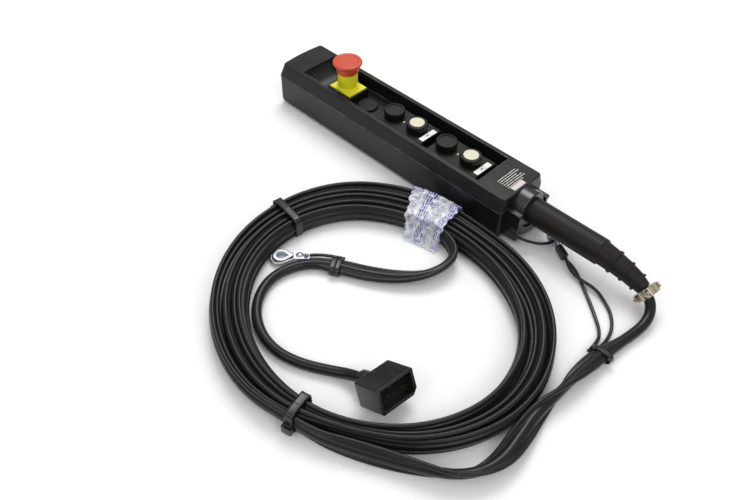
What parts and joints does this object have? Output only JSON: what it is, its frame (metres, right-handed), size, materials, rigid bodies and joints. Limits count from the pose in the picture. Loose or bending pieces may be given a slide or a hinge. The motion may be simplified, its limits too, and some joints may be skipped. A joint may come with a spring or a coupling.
{
  "type": "pendant control station",
  "caption": "Crane pendant control station with mushroom emergency stop, push-buttons, rubber cable sleeve, coiled flat cable with support ropes and a multi-way connector.",
  "frame": {"origin": "centre of the housing's flat back face", "axes": "+X along the housing towards its cable end, +Z out of the button face, +Y completes a right-handed frame"},
  "size_m": [0.529, 0.3916, 0.0841],
  "materials": {
    "housing_black": "textured",
    "actuator_black": "satin",
    "gloss_black": "gloss",
    "gland_black": "semi-gloss",
    "sleeve_rubber": "matte",
    "gasket_rubber": "matte",
    "cable_jacket": "soft sheen",
    "tie_nylon": "satin",
    "estop_red": "satin",
    "estop_yellow": "satin",
    "lens_cream": "satin",
    "label_white": "matte",
    "sticker_pink": "matte",
    "block_grey": "satin",
    "terminal_grey": "satin",
    "plated_steel": "zinc plated",
    "spring_steel": "bright",
    "nickel_clamp": "nickel plated",
    "galvanised": "galvanised",
    "contact_metal": "plated",
    "wire_insulation": "satin",
    "film": "clear with printed marks"
  },
  "bodies": {
    "station": {"rear_housing": "housing_black", "front_cover": "housing_black", "cover_gasket": "gasket_rubber", "cover_screws": "plated_steel", "gland_screws": "plated_steel", "terminal_screws": "plated_steel", "contact_chassis": "plated_steel", "estop_frame": "actuator_black", "estop_nut": "actuator_black", "blanking_plug": "actuator_black", "button_plate_1": "actuator_black", "button_plate_2": "actuator_black", "estop_collar": "estop_yellow", "estop_plate": "estop_yellow", "label_strips": "label_white", "contact_blocks": "block_grey", "estop_contact_block": "block_grey", "terminal_strip": "terminal_grey", "core_wires": "wire_insulation", "id_sticker": "sticker_pink", "gland_block": "gland_black", "gland_collar": "gland_black", "connector_shell": "gland_black", "connector_gland": "gland_black", "rubber_sleeve": "sleeve_rubber", "inner_cable": "cable_jacket", "cord_lead": "cable_jacket", "cord_coil": "cable_jacket", "cord_tail": "cable_jacket", "rope_lead": "cable_jacket", "rope_tail": "cable_jacket", "bail_wire": "cable_jacket", "clamp_saddles": "nickel_clamp", "clamp_screws": "nickel_clamp", "coil_tie_1": "tie_nylon", "coil_tie_2": "tie_nylon", "fork_tie_lead": "tie_nylon", "fork_tie_tail": "tie_nylon", "rope_ferrule": "tie_nylon", "film_wrap": "film", "thimble_lead": "galvanised", "thimble_tail": "galvanised", "rope_clip_body": "galvanised", "rope_clip_nut": "galvanised", "connector_insert": "gloss_black", "connector_contacts": "contact_metal"},
    "estop_slider": {"estop_plunger": "actuator_black", "estop_spring": "spring_steel"},
    "estop_knob": {"estop_head": "estop_red"},
    "button_1": {"button_cap_1": "actuator_black", "button_spring_1": "spring_steel"},
    "button_2": {"button_cap_2": "actuator_black", "button_spring_2": "spring_steel", "white_lens_2": "lens_cream"},
    "button_3": {"button_cap_3": "actuator_black", "button_spring_3": "spring_steel"},
    "button_4": {"button_cap_4": "actuator_black", "button_spring_4": "spring_steel", "white_lens_4": "lens_cream"}
  },
  "joints": [
    {"name": "estop_push", "type": "slide", "parent": "station", "child": "estop_slider", "axis": [0, 0, -1], "range_m": [0, 0.0045], "stiffness_N_per_m": 300, "springref_m": -0.006, "deforming": ["estop_spring"]},
    {"name": "estop_twist", "type": "hinge", "parent": "estop_slider", "child": "estop_knob", "pos_m": [-0.0895, 0, 0.078], "axis": [0, 0, -1], "range_deg": [0, 35], "stiffness_Nm_per_rad": 0.02, "springref_deg": -5.73},
    {"name": "button_1_press", "type": "slide", "parent": "station", "child": "button_1", "axis": [0, 0, -1], "range_m": [0, 0.003], "stiffness_N_per_m": 300, "springref_m": -0.006, "deforming": ["button_spring_1"]},
    {"name": "button_2_press", "type": "slide", "parent": "station", "child": "button_2", "axis": [0, 0, -1], "range_m": [0, 0.003], "stiffness_N_per_m": 300, "springref_m": -0.006, "deforming": ["button_spring_2"]},
    {"name": "button_3_press", "type": "slide", "parent": "station", "child": "button_3", "axis": [0, 0, -1], "range_m": [0, 0.003], "stiffness_N_per_m": 300, "springref_m": -0.006, "deforming": ["button_spring_3"]},
    {"name": "button_4_press", "type": "slide", "parent": "station", "child": "button_4", "axis": [0, 0, -1], "range_m": [0, 0.003], "stiffness_N_per_m": 300, "springref_m": -0.006, "deforming": ["button_spring_4"]}
  ]
}
